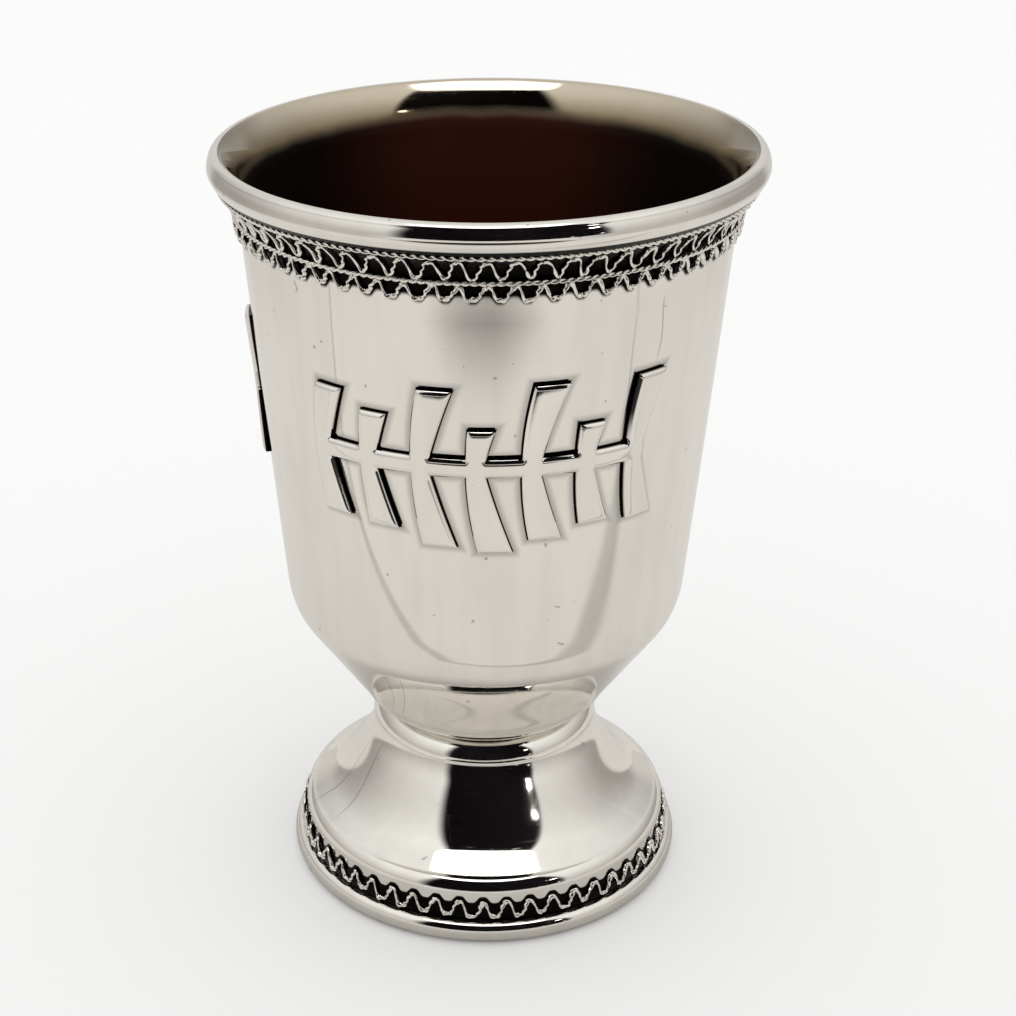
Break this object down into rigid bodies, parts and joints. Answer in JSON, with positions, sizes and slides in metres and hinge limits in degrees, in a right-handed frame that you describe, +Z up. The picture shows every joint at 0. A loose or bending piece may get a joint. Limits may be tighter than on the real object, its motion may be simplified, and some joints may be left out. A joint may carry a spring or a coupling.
{
  "type": "kiddush cup",
  "caption": "Small footed silver kiddush cup with a rolled lip, filigree wire bands under the lip and on the foot, and soldered cut-out appliques on the bowl.",
  "frame": {"origin": "on the cup's axis at the plane the base ring stands on", "axes": "+Z up along the cup's axis; -Y towards the middle of the front applique"},
  "size_m": [0.0556, 0.0556, 0.082],
  "materials": {
    "silver": "polished sterling silver",
    "filigree": "oxidised silver wire, bright on top",
    "applique": "polished silver with darkened edges"
  },
  "bodies": {
    "root": {"bowl": "silver", "neck_collar": "silver", "foot": "silver", "base_ring": "silver", "rim_rope_top": "filigree", "rim_rope_middle": "filigree", "rim_zigzag_upper": "filigree", "rim_zigzag_lower": "filigree", "foot_zigzag": "filigree", "applique_front": "applique", "applique_side": "applique"}
  },
  "joints": []
}
